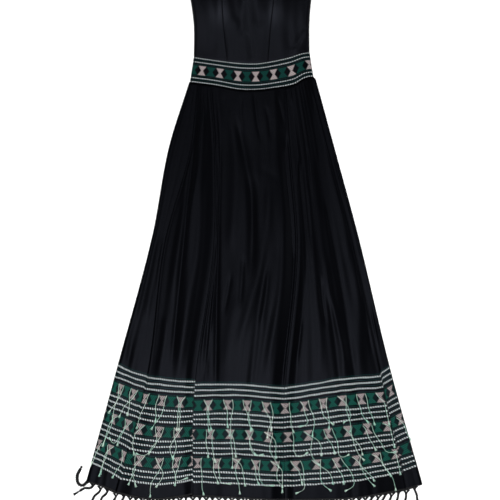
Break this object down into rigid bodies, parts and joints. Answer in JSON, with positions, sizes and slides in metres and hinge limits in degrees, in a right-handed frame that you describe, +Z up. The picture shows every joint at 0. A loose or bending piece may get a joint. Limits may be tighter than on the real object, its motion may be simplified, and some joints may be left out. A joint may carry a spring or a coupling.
{
  "type": "strapless dress",
  "caption": "Long strapless flared dress laid flat, with a woven waistband, patterned hem rows and a knotted fringe.",
  "frame": {"origin": "on the surface the dress lies on, under the centre of its bounding box", "axes": "+Y from the hem towards the neckline, +Z up out of the front, +X towards the right-hand side seen from above"},
  "size_m": [0.91, 1.4278, 0.0245],
  "materials": {
    "skirt_cloth": "black satin-faced cotton",
    "bodice_cloth": "black satin-faced cotton",
    "woven_band": "black woven band with pale and green motifs",
    "fringe_yarn": "black twisted yarn",
    "pattern_yarn": "pale green yarn"
  },
  "bodies": {
    "root": {"skirt_front": "skirt_cloth", "skirt_back": "skirt_cloth", "waistband_front": "woven_band", "waistband_back": "woven_band", "bodice_front_left": "bodice_cloth", "bodice_front_centre": "bodice_cloth", "bodice_front_right": "bodice_cloth", "bodice_back": "bodice_cloth", "fringe_front": "fringe_yarn", "fringe_back": "fringe_yarn", "yarn_ends_upper_left": "pattern_yarn", "yarn_ends_upper_centre": "pattern_yarn", "yarn_ends_upper_right": "pattern_yarn", "yarn_ends_middle_left": "pattern_yarn", "yarn_ends_middle_centre": "pattern_yarn", "yarn_ends_middle_right": "pattern_yarn", "yarn_ends_lower_left": "pattern_yarn", "yarn_ends_lower_centre": "pattern_yarn", "yarn_ends_lower_right": "pattern_yarn"}
  },
  "joints": []
}
